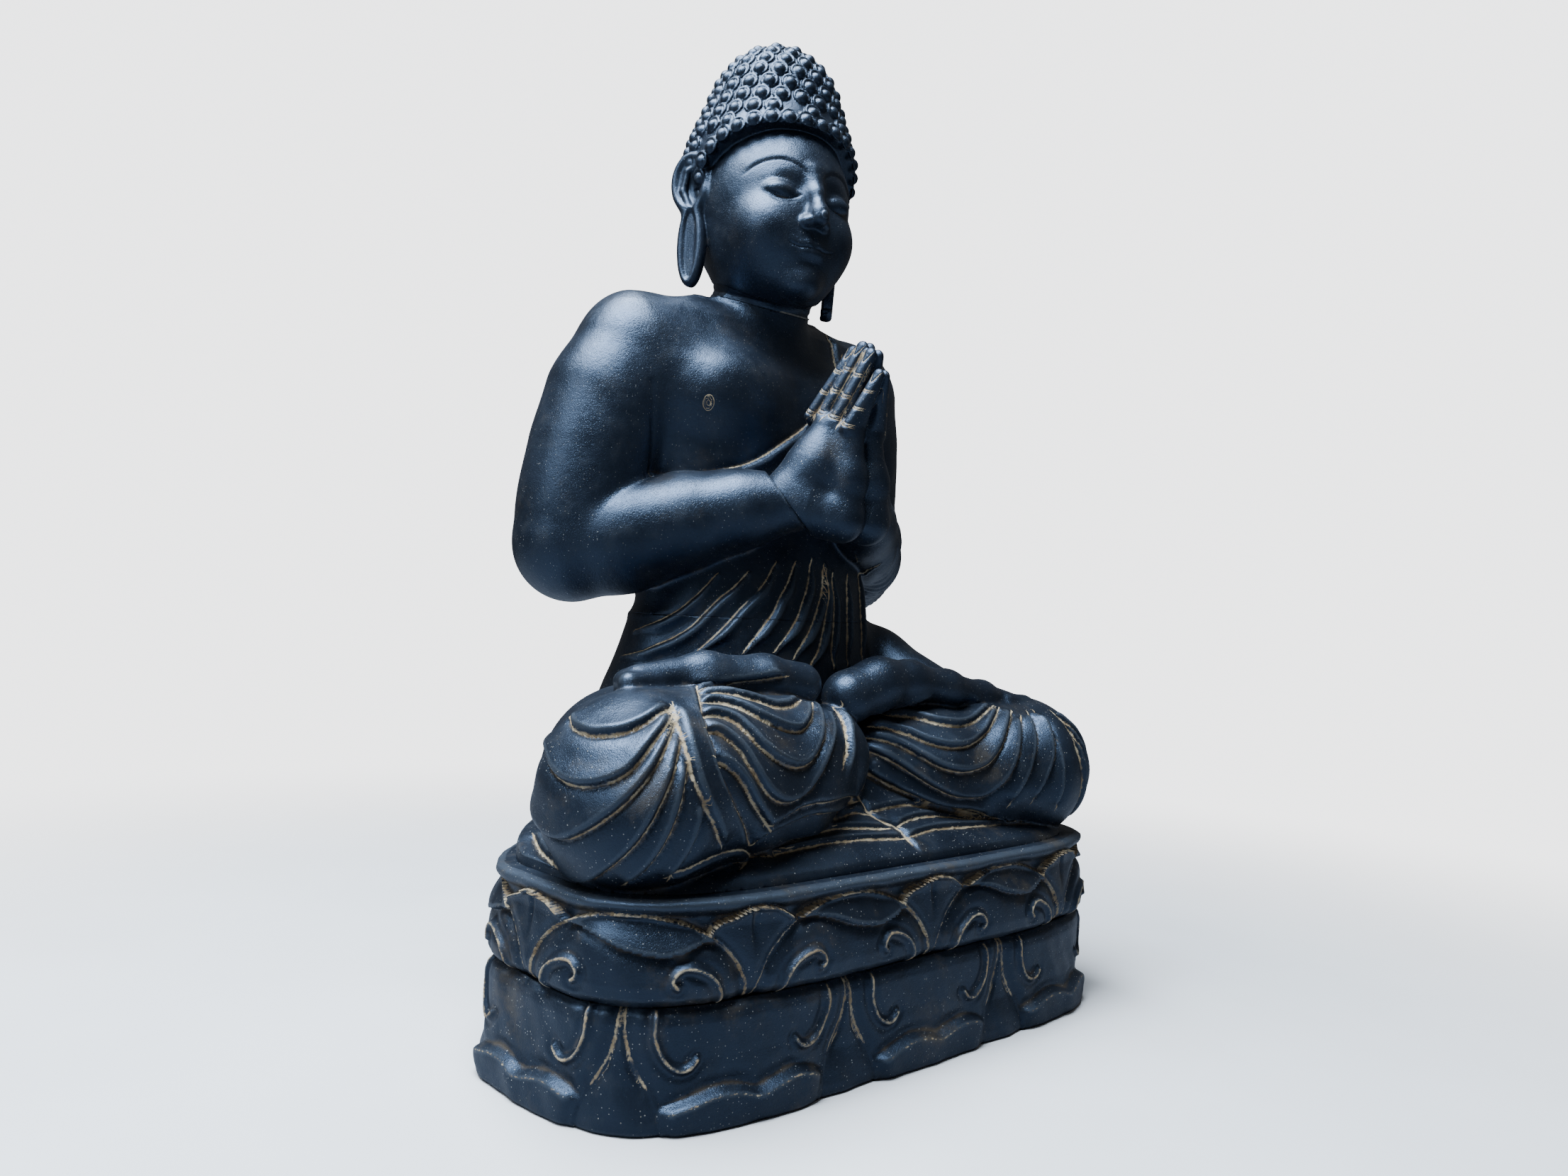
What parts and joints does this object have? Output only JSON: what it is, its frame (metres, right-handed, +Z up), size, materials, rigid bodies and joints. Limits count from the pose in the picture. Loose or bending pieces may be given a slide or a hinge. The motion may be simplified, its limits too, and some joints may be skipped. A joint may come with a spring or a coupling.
{
  "type": "seated stone buddha statue",
  "caption": "Seated figure with joined hands on a double lotus base; carved stone blocks bedded in thin mortar and pinned with resin-set steel dowels",
  "frame": {"origin": "centre of the bounding box at the flat underside of the lower tier", "axes": "+Z up through the crown; the figure faces -Y; +X is its left"},
  "size_m": [0.7855, 0.4577, 1.2166],
  "materials": {
    "stone": "satin",
    "mortar": "matte",
    "dowel_steel": "satin",
    "resin": "satin"
  },
  "bodies": {
    "root": {"lower_lotus_tier": "stone", "upper_lotus_tier": "stone", "lap_block": "stone", "torso_block": "stone", "joined_hands": "stone", "head": "stone", "tier_bed": "mortar", "lap_bed": "mortar", "torso_bed": "mortar", "neck_bed": "mortar", "wrist_beds": "mortar", "tier_dowels": "dowel_steel", "lap_dowels": "dowel_steel", "torso_dowels": "dowel_steel", "neck_dowel": "dowel_steel", "wrist_dowels": "dowel_steel", "tier_dowel_resin": "resin", "lap_dowel_resin": "resin", "torso_dowel_resin": "resin", "neck_dowel_resin": "resin", "wrist_dowel_resin": "resin"}
  },
  "joints": []
}
